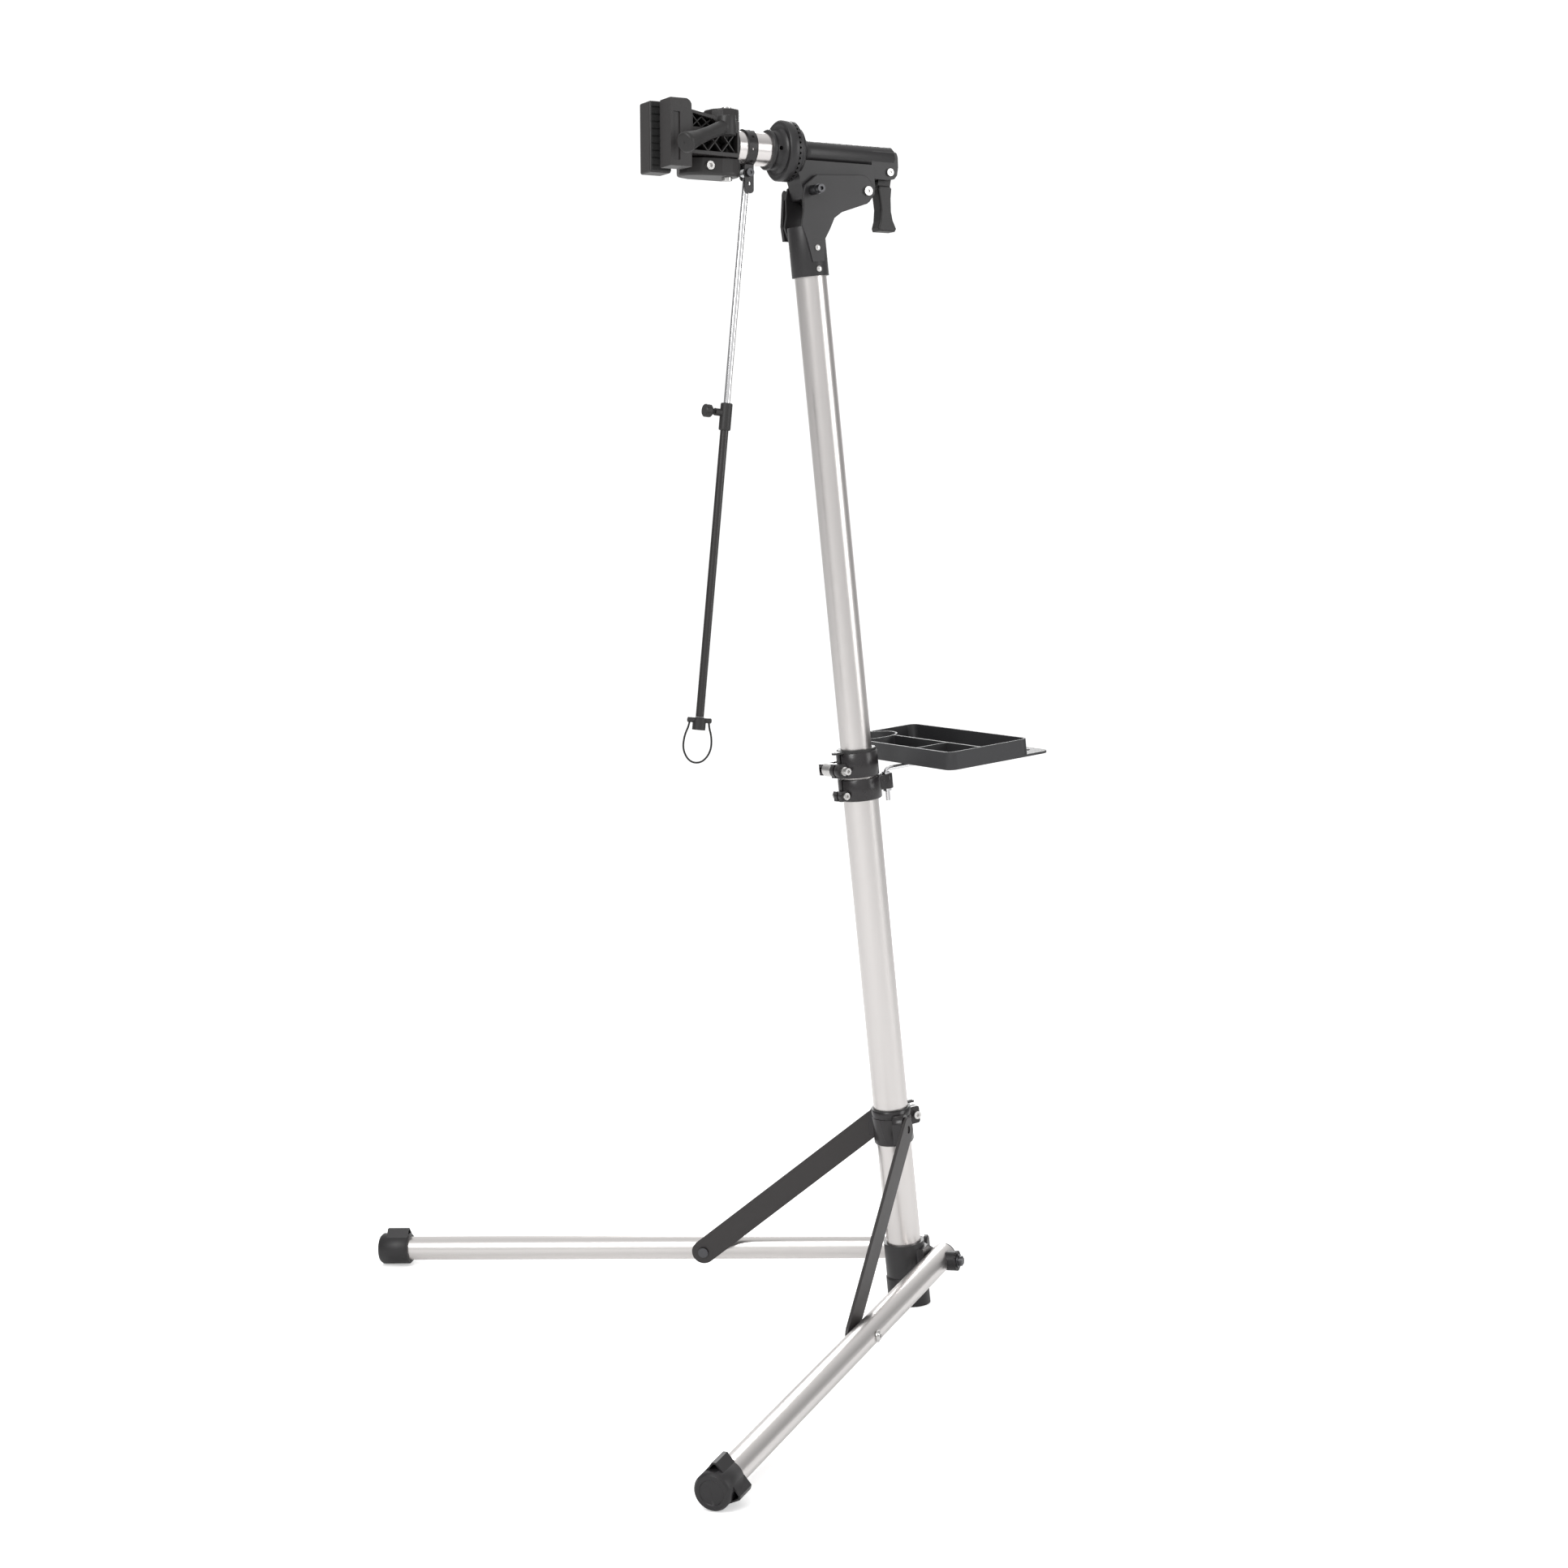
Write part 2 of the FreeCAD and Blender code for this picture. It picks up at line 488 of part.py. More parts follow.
wr, bend = VAL["wire_radius"], 6.0
zc = VAL["tray_floor"] - wr - 0.1
qb = -VAL["tray_rod_back"]
pts = [Vector(qb, 0, 668), Vector(qb, 0, zc - bend), Vector(qb - bend * (1 - math.cos(math.pi / 4)), 0, zc - bend + bend * math.sin(math.pi / 4)),
       Vector(qb - bend, 0, zc), Vector(-176, 0, zc)]
path = Part.Wire([Part.makeLine(pts[0], pts[1]), Part.Arc(pts[1], pts[2], pts[3]).toShape(), Part.makeLine(pts[3], pts[4])])
prof = Part.Wire([Part.makeCircle(wr, pts[0], Vector(0, 0, 1))])
wire = path.makePipeShell([prof], True, False)
wire.Placement = MAST
node("tray_rod", fuse([feature(wire), cyl(5.4, 2.2, (-1 * TB, 0, 702.6), None, MAST), cyl(5.6, 3.0, (-1 * TB, 0, 680.7), None, MAST)]))

W = VAL["tray_wall"]
F, B, YL, YR = VAL["tray_front"], VAL["tray_back"], VAL["tray_left"], VAL["tray_right"]
z0, z1 = D("tray_floor"), D("tray_rim")
outer = rounded(box(-B, -F, -YR, YL, z0, z1, MAST), lambda e: along(e, MZ), 12.0)
inner = rounded(box(-B + W, -F - W, -YR + W, YL - W, z0 + 3, z1 + 4, MAST), lambda e: along(e, MZ), 9.6)
lipf = rounded(box(-B - 30, -B + 14, -YR, YL, z0, z0 + 3, MAST), lambda e: along(e, MZ) and MAST.inverse().multVec(e.CenterOfMass).x < -B - 20, 12.0)
shell = fuse([cut(outer, inner), lipf])
CUPQ, CUPY = -97.0, -124.0
cupr = D("cup_radius")
walls = [ring(cupr, cupr - W, z0 + 2, z1, MAST * P(CUPQ, CUPY, 0)),
         box(-112 - W, -112, -91.5, YL - 1, z0 + 2, z1, MAST),
         box(-112, -F - 1, 36, 36 + W, z0 + 2, z1, MAST)]
tray = fuse([shell] + walls)
tools = [cyl(14, 20, (CUPQ, CUPY, 705), None, MAST)]
for yy, rr in ((-140, 5.5), (-115, 4.5), (-88, 4.0), (-60, 5.0), (-30, 4.0), (-2, 6.0), (28, 5.0), (58, 4.0), (88, 4.5)):
    tools.append(cyl(rr, 20, (-B - 15, yy, 705), None, MAST))
tray = cuts(tray, tools)
node("tool_tray", tray)

# ---------------------------------------------------------------- upper mast
node("upper_tube", rev([(D("upper_bore"), D("upper_low")), (D("upper_radius"), D("upper_low")), (D("upper_radius"), D("upper_high") + 3),
                        (0, D("upper_high") + 3), (0, D("upper_high")), (D("upper_bore"), D("upper_high"))], MAST))
node("mast_glide", rev([(D("upper_radius") + 0.02, 603), (D("lower_bore") - 0.07, 603), (D("lower_bore") - 0.07, 630),
                        (D("upper_radius") + 0.02, 630)], MAST))


ci, co = D("cheek_in"), D("cheek_out")
cheek = [(-9.6, 1456.4), (-75.9, 1452.5), (-82.2, 1448.5), (-89.8, 1435.7), (-87.6, 1426.5), (-77.6, 1417.5),
         (-39.8, 1409.1), (-27.9, 1402.2), (-20.5, 1390), (-12, 1378), (-8, 1352), (8, 1352), (13, 1380), (18.0, 1398),
         (14.0, 1412), (12.5, 1432.6), (8.5, 1445)]
parts = [ring(D("socket_radius"), D("upper_radius") + g, D("socket_low"), D("socket_high"), MAST)]
for a, b in ((ci, co), (-co, -ci)):
    pl = side(cheek, a, b, MAST)
    parts.append(pl)
hbk = fuse(parts)
PVT = (78.1, 1432.6)
QRP = (156.5, 1429.0)
hbk = cuts(hbk, [cyl(D("upper_radius") + g, 61, (0, 0, 1335), None, MAST),
                 cyl(D("tilt_bolt") + g, 60, (PVT[0], -30, PVT[1]), ALONG_Y),
                 cyl(D("tilt_skewer") + g, 60, (QRP[0], -30, QRP[1]), ALONG_Y)])
hbk = rounded(hbk, lambda e: (abs(abs(e.CenterOfMass.y) - co.v) < 0.01 and all(abs(abs(v.Point.y) - co.v) < 0.01 for v in e.Vertexes)
                               and e.Curve.TypeId == "Part::GeomLine" and e.CenterOfMass.z > 1395), 1.2)
node("head_bracket", hbk)
riv = []
for (rr0, ss) in ((co.v + 0.02, 1368.5), (22.9, 1343.0)):
    fr = MAST * Placement(Vector(0, 0, ss), ALONG_Y)
    riv.append(rev([(0, rr0), (3.8, rr0), (3.6, rr0 + 1.3), (2.0, rr0 + 2.3), (0, rr0 + 2.5)], fr))
rv = doc.addObject("Part::Compound", tag("comp"))
rv.Links = riv
node("bracket_rivets", cut(rv, cyl(D("socket_radius") + 0.03, 80, (0, 0, 1320), None, MAST)))
tbolt = fuse([cyl(D("tilt_bolt"), 54, (PVT[0], -27, PVT[1]), ALONG_Y), cyl(5.6, 3.0, (PVT[0], 24.3, PVT[1]), ALONG_Y),
              cyl(6.5, 4.5, (PVT[0], -28.8, PVT[1]), ALONG_Y)])
tbolt = cut(tbolt, cyl(2.0, 2.0, (PVT[0], 25.6, PVT[1]), ALONG_Y))
node("tilt_bolt", tbolt)
tsk = fuse([rev([(0, -24.3), (8.2, -24.3), (8.8, -25.6), (8.8, -28), (7.4, -29.4), (0, -29.4)],
                Placement(Vector(QRP[0], 0, QRP[1]), ALONG_Y)), cyl(D("tilt_skewer"), 78, (QRP[0], -34, QRP[1]), ALONG_Y), cyl(6.0, 15, (QRP[0], 24.3, QRP[1]), ALONG_Y),
            cyl(5.0, 8, (QRP[0], 39.3, QRP[1]), ALONG_Y)])
tsk = cut(tsk, cyl(2.4, 4, (QRP[0], 44.5, QRP[1]), ALONG_Y))
node("tilt_skewer", tsk)
tl = fuse([cyl(6.2, 14, (QRP[0] - 7, -36.2, QRP[1]), ALONG_X),
           side([(QRP[0] - 7, QRP[1]), (QRP[0] - 6, QRP[1] - 40), (QRP[0] - 2, QRP[1] - 56), (QRP[0] + 6, QRP[1] - 56),
                 (QRP[0] + 9, QRP[1] - 38), (QRP[0] + 7, QRP[1])], -42.2, -36.4)])
tl = cut(tl, box(QRP[0] - 3.4, QRP[0] + 3.4, -39.8, -20, QRP[1] - 10, QRP[1] + 10))
tl = rounded(tl, lambda e: abs(e.CenterOfMass.y + 42.2) < 0.01 and e.Curve.TypeId == "Part::GeomLine", 1.8)
node("tilt_lever", tl)

# ---------------------------------------------------------------- head
AZ = D("arm_high")
AX = Placement(Vector(0, 0, AZ.v), ALONG_X)        # turned parts on the arm axis
hr = D("housing_radius")
hs = rev([(0, 30), (hr - 3, 30), (hr, 34), (hr, 152), (hr + 2.5, 160), (30.0, 168), (31.5, D("ring_back")), (0, D("ring_back"))], AX)
keel = side([(66, 1466), (172, 1466), (172, 1449), (168, 1438), (163, 1420), (140, 1413), (100, 1414), (72, 1420), (64, 1430),
             (63, 1440)], -17.0, 17.0)
keel = rounded(keel, lambda e: along(e, Vector(0, 1, 0)), 2.5)
neckk = side([(64, 1478), (174, 1478), (174, 1452), (66, 1452)], -11.0, 11.0)
rear = side([(30, 1484), (66, 1484), (66, 1450), (44, 1449.5), (33, 1451), (29, 1456), (27.5, 1466), (28, 1478)], -13.5, 13.5)
rear = rounded(rear, lambda e: along(e, Vector(0, 1, 0)), 3.0)
hs = fuse([hs, keel, neckk, rear])
LP = (40.0, 1459.0)
hs = cuts(hs, [cyl(D("tilt_bolt") + g, 60, (PVT[0], -30, PVT[1]), ALONG_Y),
               box(QRP[0] - 3.6, QRP[0] + 3.6, -30, 30, 1400, QRP[1]),
               box(QRP[0] - 5.6, QRP[0] + 3.0, -30, 30, 1400, QRP[1] - 4),
               cyl(3.6, 60, (QRP[0], -30, QRP[1]), ALONG_Y),
               box(20, 53, -6.3, 6.3, 1440, 1474),
               cyl(3.06, 40, (LP[0], -20, LP[1]), ALONG_Y),
               cyl(D("shaft_radius") + g, 125, (56, 0, AZ), ALONG_X)])
node("head_housing", hs)
rr = D("ring_radius")
RB, RS, RF = D("ring_back"), D("ring_split"), D("ring_front")
rb = rev([(D("shaft_radius") + g, RB + 0.02), (rr - 1.2, RB + 0.02), (rr, RB + 1.2), (rr, RS), (D("shaft_radius") + g, RS)], AX)
nt = []
for k in range(0, 36):
    fr = Placement(Vector(0, 0, AZ.v), Rotation(Vector(1, 0, 0), k * 10.0))
    nt.append(prism([(178.2, -0.9), (180.6, -1.9), (180.6, 1.9), (178.2, 0.9)], 8, fr * P(0, 0, rr.v - 3.2)))
tools = doc.addObject("Part::Compound", tag("comp"))
tools.Links = nt
node("rear_index_ring", cut(rb, tools))
node("lock_shaft", rev([(0, 57), (D("shaft_radius"), 57), (D("shaft_radius"), 212), (6, 214), (0, 214)], AX))
lbt = fuse([cyl(3.0, 30, (LP[0], -15, LP[1]), ALONG_Y), cyl(4.6, 2.6, (LP[0], 13.6, LP[1]), ALONG_Y),
            cyl(4.6, 3.0, (LP[0], -16.6, LP[1]), ALONG_Y)])
node("lock_bolt", cut(lbt, cyl(1.9, 1.6, (LP[0], 14.9, LP[1]), ALONG_Y)))
ll = fuse([cyl(10.0, 12, (LP[0], -6, LP[1]), ALONG_Y),
           side([(LP[0] - 8, LP[1]), (LP[0] + 9.6, LP[1]), (LP[0] + 13.0, 1445), (LP[0] + 12, 1441), (LP[0] - 5, 1441)], -6, 6),
           side([(52.0, 1443), (54, 1438), (51.5, 1425), (50.0, 1414), (51.0, 1400), (53.5, 1391), (52, 1387), (29, 1387),
                 (27, 1391), (32.0, 1401), (34.5, 1412), (35.0, 1428), (34.0, 1440), (37, 1443)], -9.5, 9.5)])
ll = cut(ll, cyl(3.06, 30, (LP[0], -15, LP[1]), ALONG_Y))
ll = rounded(ll, lambda e: abs(abs(e.CenterOfMass.y) - 9.5) < 0.01 and e.Curve.TypeId == "Part::GeomLine", 2.4)
node("lock_lever", ll)

# ---------------------------------------------------------------- rotating clamp
sr = D("spindle_radius")
fi = rev([(D("shaft_radius") + g, RS + 0.25), (rr, RS + 0.25), (rr, RF - 1.6), (rr - 1.6, RF), (rr - 5.0, RF), (rr - 6.5, RF - 1.2),
          (27.0, RF - 1.6), (24.5, RF + 1.0), (23.0, 202), (23.4, 203.5), (24.2, 205), (24.2, 207.5), (23.2, 208.5), (sr + g, 208.5),
          (sr + g, 203.9), (D("shaft_radius") + g, 203.9)], AX)
fi = cut(fi, cyl(2.6, 20, (199, 12, 1477), ALONG_Y))
node("front_index_ring", fi)
node("spindle_tube", ring(sr, D("spindle_bore"), 204, D("spindle_end"), AX))

X0 = 255.5
yoke = [rev([(sr - 1, X0), (24.0, X0), (26.0, X0 + 2), (26.0, 259.5), (sr - 1, 259.5)], AX),
        side([(256, 1511), (258, 1517), (262, 1519.5), (285, 1519.0), (292, 1514), (292, 1440), (256, 1440)], -24, 0)]
top = prism([(252, -1), (252, 14), (258, 24), (268, 28), (280, 26), (289, 14), (292, -1)], 14.5, P(0, 0, 1504.0))
bot = prism([(252, -24), (252, 14), (258, 24), (268, 28), (282, 27), (306, 22), (322, 12), (326, 0), (322, -16), (306, -24)],
            20.5, P(0, 0, 1438.5))
top = rounded(top, lambda e: abs(e.CenterOfMass.z - 1518.5) < 0.01, 2.0)
bot = rounded(bot, lambda e: abs(e.CenterOfMass.z - 1438.5) < 0.01, 4.0)
farm = side([(262, 1460), (262, 1503), (300, 1508), (336, 1514), (336, 1459)], -34, -8.2)
fj = side([(333, 1442), (361, 1442), (361, 1526), (333, 1526)], -37, -8.0)
fj = rounded(fj, lambda e: along(e, Vector(0, 0, 1)) or along(e, Vector(1, 0, 0)) or along(e, Vector(0, 1, 0)), 2.4)
fx = fuse(yoke + [top, bot, farm, fj])
TX, TZ = VAL["tension_x"], VAL["tension_z"]
HP = (269.0, 13.5)
lat = []
for (xa, xb, za, zb) in ((266, 298, 1464, 1484), (301, 331, 1464, 1484), (304, 331, 1488, 1507)):
    lat.append(box(xa, xb, -40, -14, za, zb))
fx = cuts(fx, [cyl(sr + g, 14, (245, 0, 1477), ALONG_X), box(259.4, 300, 0.0, 40, 1459.2, 1503.8)] + lat +
          [cyl(D("tension_radius") + 0.2, 60, (TX, -50, TZ), ALONG_Y), cyl(4.05, 100, (HP[0], HP[1], 1430), None),
           cyl(5.2, 20, (298, 14, 1449.5), ALONG_Y)])
fx = fuse([fx, rev([(0, 236), (D("spindle_bore") - 0.05, 236), (D("spindle_bore") - 0.05, 259.3), (0, 259.3)], AX)])
node("fixed_jaw", fx)
jp = fuse([cyl(4.0, 84, (HP[0], HP[1], 1437.5), None), cyl(6.2, 2.0, (HP[0], HP[1], 1518.8), None),
           cyl(6.4, 3.8, (HP[0], HP[1], 1434.4), None)])
node("jaw_pin", jp)
hx = fuse([cyl(5.1, 14, (298, 14.2, 1449.5), ALONG_Y)])
hx = cut(hx, cyl(2.6, 4, (298, 25.5, 1449.5), ALONG_Y))
scr = doc.addObject("Part::Compound", tag("comp"))
scr.Links = [hx] + [cyl(3.6, 3.4, (350, -40.5, zz), ALONG_Y) for zz in (1505.5, 1484.0, 1461.5)]
node("jaw_screws", scr)


def padshape(sy, xf):
    a, b = (VAL["jaw_face"] - VAL["pad_thick"], VAL["jaw_face"] - 0.05) if sy > 0 else (-VAL["jaw_face"] + 0.05, -VAL["jaw_face"] + VAL["pad_thick"])
    lo, hi = min(a, b), max(a, b)
    zl, zh = (1447, 1522) if sy > 0 else (1444, 1524)
    o = box(xf - 26, xf - 1.0, lo, hi, zl, zh)
    gz = []
    for k in range(9):
        zk = zl + 6 + k * (zh - zl - 12) / 8.0
        gz.append(box(xf - 30, xf + 2, (lo - 1) if sy > 0 else hi - 1.0, lo + 1.0 if sy > 0 else hi + 1, zk - 0.9, zk + 0.9))
    return cuts(o, gz)


node("far_jaw_pad", padshape(-1, 361.0))
node("near_jaw_pad", padshape(1, 355.0))
node("tension_rod", fuse([cyl(D("tension_radius"), 104, (TX, -53, TZ), ALONG_Y), cyl(3.0, 21, (TX, 51.0, TZ - 10.5), None)]))
kb = rev([(3.06, -53), (9.5, -53), (11, -51.5), (11, -41), (9, -38.5), (6, -34.6), (3.06, -34.6)], Placement(Vector(TX, 0, TZ), ALONG_Y))
for k in range(12):
    fr = Placement(Vector(TX, 0, TZ), Rotation(Vector(0, 1, 0), 30.0 * k))
    kb = cut(kb, cyl(1.5, 20, (11.6, -55, 0), ALONG_Y, fr))
node("jaw_knob", kb)

jf = VAL["jaw_front"]
JL, JH = VAL["jaw_tall_low"], VAL["jaw_tall_high"]
jb = side([(jf - 28, JL), (jf, JL), (jf, JH), (jf - 22, JH), (jf - 26, 1521.5), (jf - 28, 1518)], 8.0, 36.0)
arm = side([(262, 1460), (262, 1502), (268, 1503), (292.5, 1503.3), (294.5, 1506.7), (328.5, 1512.8), (328.5, 1461.5)], 5.0, 33.0)
near = fuse([jb, arm])
# recesses behind the lattice, then the crossed ribs
pk = [side([(283.5, 1492.5), (324, 1492.5), (324, 1508.4), (297, 1503.0), (293.5, 1500.4), (283.5, 1500.0)], 11.0, 40.0),
      side([(264.5, 1465), (322, 1465.6), (322, 1488.5), (264.5, 1488.5)], 11.0, 40.0)]
near = cuts(near, pk)

boss = cyl(8.5, 28, (TX, 5.0, TZ), ALONG_Y)
near = fuse([near, boss, cyl(6.6, 38.5, (HP[0], HP[1], 1462.3), None)])
near = cuts(near, [cyl(4.06, 60, (HP[0], HP[1], 1450), None), cyl(5.6, 60, (TX, -5, TZ), ALONG_Y),
                   box(jf - 12.5, jf - 4, 34.2, 40, 1452, 1508)])
node("near_jaw", near)
jl = [cyl(11.0, 22, (TX, 51.0, TZ - 11), None)]
dirl = Vector(0.87, 0.35, -0.35).normalize()
rotl = Rotation(Vector(0, 0, 1), dirl)
c0 = Vector(TX, 51.0, TZ) + dirl * 4
fr = Placement(c0, rotl)
jl.append(rev([(0, 0), (8.5, 0), (7.8, 30), (8.8, 52), (11.4, 68), (12.2, 72), (12.2, 75), (10.6, 77), (0, 77.4)], fr))
jl = cuts(fuse(jl), [box(TX - 15, TX + 3.4, 30, 57, TZ - 3.4, TZ + 3.4)])
jl = cuts(jl, [cyl(3.05, 40, (TX, 51.0, TZ - 20), None)])
node("jaw_lever", jl)

# ---------------------------------------------------------------- handlebar holder
SX, SWD = D("strap_x"), D("strap_width")
xa, xb = VAL["strap_x"] - 6, VAL["strap_x"] + 6
band = rev([(20.12, xa), (D("strap_radius"), xa), (D("strap_radius"), xb), (20.12, xb)], AX)
tabn = rounded(box(xa, xb, 6.9, 9.3, 1422.5, 1458), lambda e: along(e, Vector(0, 1, 0)) and e.CenterOfMass.z < 1430, 4.5)
tabf = rounded(box(xa, xb, -5.3, -2.9, 1438, 1458), lambda e: along(e, Vector(0, 1, 0)) and e.CenterOfMass.z < 1440, 4.5)
strap = fuse([band, tabn, tabf])
stools = [cyl(20.12, 30, (xa - 8, 0, 1477), ALONG_X), box(xa - 1, xb + 1, -2.9, 6.9, 1450, 1458.4),
          cyl(3.05, 40, (SX, -20, 1447), ALONG_Y), cyl(2.4, 10, (SX, 3, 1434.5), ALONG_Y)]
for k in range(-3, 4):
    if k != 0 or True:
        fr = Placement(Vector(0, 0, AZ.v), Rotation(Vector(1, 0, 0), -60 + 40.0 * k))
        stools.append(cyl(1.9, 12, (SX, 0, 15), None, fr) if abs(-60 + 40 * k) < 150 else cyl(0.4, 2, (SX, 0, 40), None, fr))
strap = cuts(strap, stools)
node("rod_strap", strap)
sbt = fuse([cyl(3.0, 21, (SX, -9.3, 1447), ALONG_Y), cyl(5.0, 3.6, (SX, 9.4, 1447), ALONG_Y), cyl(5.4, 3.4, (SX, -8.8, 1447), ALONG_Y)])
node("strap_bolt", cut(sbt, cyl(2.0, 2, (SX, 11.6, 1447), ALONG_Y)))
ROD = Placement(Vector(VAL["strap_x"], 2.0, 1447), Rotation(Vector(0, 1, 0), -VAL["holder_tilt"]))
rod = fuse([cyl(D("rod_radius"), 416, (0, 0, -420), None, ROD), cyl(7.0, 8.4, (0, -4.2, 0), ALONG_Y, ROD)])
rod = cut(rod, cyl(3.06, 20, (0, -10, 0), ALONG_Y, ROD))
node("holder_rod", rod)
node("holder_tube", ring(D("tube_radius"), D("rod_radius") + 0.06, -664, -300, ROD))
slv = rev([(D("rod_radius") + 0.06, -312), (D("sleeve_radius") - 0.8, -312), (D("sleeve_radius"), -311), (D("sleeve_radius"), -280),
           (D("sleeve_radius") - 0.8, -279), (D("rod_radius") + 0.06, -279)], ROD)
slv = fuse([slv, cyl(4.6, 9.4, (6.0, 0, -291), ALONG_X, ROD)])
slv = cuts(slv, [cyl(D("tube_radius") + 0.02, 13, (0, 0, -312.5), None, ROD), cyl(D("rod_radius") + 0.06, 60, (0, 0, -330), None, ROD),
                 cyl(2.2, 20, (4.2, 0, -291), ALONG_X, ROD)])
node("holder_sleeve", slv)
ks = fuse([cyl(2.15, 20, (4.3, 0, -291), ALONG_X, ROD), rev([(0, 19), (5.0, 19), (7.0, 21), (D("knob_radius"), 22), (D("knob_radius"), 29),
           (7.0, 30), (0, 30)], ROD * Placement(Vector(0, 0, -291), ALONG_X))])
kt = []
for k in range(6):
    fr = ROD * Placement(Vector(0, 0, -291), Rotation(Vector(1, 0, 0), 60.0 * k))
    kt.append(cyl(2.3, 20, (18, 0, 9.4), ALONG_X, fr))
node("holder_knob", cuts(ks, kt))
es = rev([(0, -680), (7.4, -680), (8.2, -679), (8.2, -667), (6.5, -664.5), (D("tube_radius") + 0.02, -664.5), (D("tube_radius") + 0.02, -664.5 - 0.01),
          (0, -664.51)], ROD)
es = fuse([cyl(8.2, 15, (0, 0, -680), None, ROD), cyl(3.2, 31, (-15.5, 0, -668), ALONG_X, ROD)])
es = cuts(es, [cyl(D("tube_radius") + 0.02, 20, (0, 0, -675), None, ROD),
               cyl(1.25, 40, (-13.2, 0, -690), None, ROD), cyl(1.25, 40, (13.2, 0, -690), None, ROD)])
es2 = cyl(D("tube_radius") + 0.5, 10.4, (0, 0, -674.8), None, ROD)
node("holder_end", fuse([es, es2]))


def rounded_path(pts):
    edges = []
    prev = pts[0]
    for k in range(1, len(pts) - 1):
        a, b, c = pts[k - 1], pts[k], pts[k + 1]
        u, w = (a - b), (c - b)
        lu, lw = u.Length, w.Length
        u.normalize()
        w.normalize()
        half = u.getAngle(w) / 2.0
        tlen = 0.45 * min(lu, lw)
        rad = tlen * math.tan(half)
        p1, p2 = b + u * tlen, b + w * tlen
        bis = (u + w)
        bis.normalize()
        cen = b + bis * (rad / math.sin(half))
        mid = cen - bis * rad
        edges.append(Part.makeLine(prev, p1))
        edges.append(Part.Arc(p1, mid, p2).toShape())
        prev = p2
    edges.append(Part.makeLine(prev, pts[-1]))
    return Part.Wire(edges)


cpts = [(-13.2, -666), (-13.2, -674), (-19.0, -688), (-19.5, -706), (-8.5, -720.5), (8.5, -720.5), (19.5, -706), (19.0, -688), (13.2, -674), (13.2, -666)]
cp3 = [Vector(x, 0, z) for x, z in cpts]
wirep = rounded_path(cp3)
cprof = Part.Wire([Part.makeCircle(VAL["cord_radius"], cp3[0], Vector(0, 0, 1))])
cord = wirep.makePipeShell([cprof], True, False)
cord.Placement = ROD
node("holder_cord", feature(cord))

# ---------------------------------------------------------------- checks and export
doc.recompute()
bad = []
for o in doc.Objects:
    if "Invalid" in o.State or "Error" in o.State:
        bad.append(o.Name + " " + o.Label)
if bad:
    raise RuntimeError("objects not computed: %s" % bad)
os.makedirs("parts", exist_ok=True)
names = set()
for label, obj in NODES:
    shp = obj.Shape
    if shp.isNull() or not shp.isValid() or shp.Volume <= 0:
        raise RuntimeError("bad shape on " + label)
    if label in names:
        raise RuntimeError("label used twice: " + label)
    names.add(label)
    if obj.TypeId == "PartDesign::Body" and obj.Tip is None:
        raise RuntimeError("no tip on " + label)
    shp.exportStep("parts/%s.step" % label)
    bb = shp.BoundBox
    print("%-18s vol %9.0f solids %d  x %.1f..%.1f y %.1f..%.1f z %.1f..%.1f" % (label, shp.Volume, len(shp.Solids), bb.XMin, bb.XMax, bb.YMin, bb.YMax, bb.ZMin, bb.ZMax))
print(len(NODES), "sub-parts")
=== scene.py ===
import bpy
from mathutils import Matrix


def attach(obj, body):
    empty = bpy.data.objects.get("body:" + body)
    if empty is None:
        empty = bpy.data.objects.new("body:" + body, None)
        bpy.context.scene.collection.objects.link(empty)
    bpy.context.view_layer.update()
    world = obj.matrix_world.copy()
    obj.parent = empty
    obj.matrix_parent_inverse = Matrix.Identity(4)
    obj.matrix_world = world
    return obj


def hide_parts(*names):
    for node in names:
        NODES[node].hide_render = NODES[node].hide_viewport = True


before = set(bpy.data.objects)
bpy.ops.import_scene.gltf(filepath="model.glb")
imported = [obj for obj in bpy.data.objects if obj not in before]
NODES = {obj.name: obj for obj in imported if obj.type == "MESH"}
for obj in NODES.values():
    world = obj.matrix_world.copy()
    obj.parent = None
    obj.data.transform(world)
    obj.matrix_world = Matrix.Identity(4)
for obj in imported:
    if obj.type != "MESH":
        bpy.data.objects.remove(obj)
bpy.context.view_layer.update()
import bpy
import math
from mathutils import Vector, Matrix


# ------------------------------------------------------------- materials
def new_mat(name):
    m = bpy.data.materials.new(name)
    m.use_nodes = True
    nt = m.node_tree
    return m, nt, nt.nodes["Principled BSDF"]


def vary(nt, bsdf, rough, spread, scale, coord="Object", stretch=(1, 1, 1)):
    tc = nt.nodes.new("ShaderNodeTexCoord")
    mp = nt.nodes.new("ShaderNodeMapping")
    mp.inputs["Scale"].default_value = stretch
    ns = nt.nodes.new("ShaderNodeTexNoise")
    ns.inputs["Scale"].default_value = scale
    ns.inputs["Detail"].default_value = 5.0
    mr = nt.nodes.new("ShaderNodeMapRange")
    mr.inputs["To Min"].default_value = max(0.02, rough - spread)
    mr.inputs["To Max"].default_value = min(1.0, rough + spread)
    nt.links.new(tc.outputs[coord], mp.inputs["Vector"])
    nt.links.new(mp.outputs["Vector"], ns.inputs["Vector"])
    nt.links.new(ns.outputs["Fac"], mr.inputs["Value"])
    nt.links.new(mr.outputs["Result"], bsdf.inputs["Roughness"])
    return ns, mp, tc


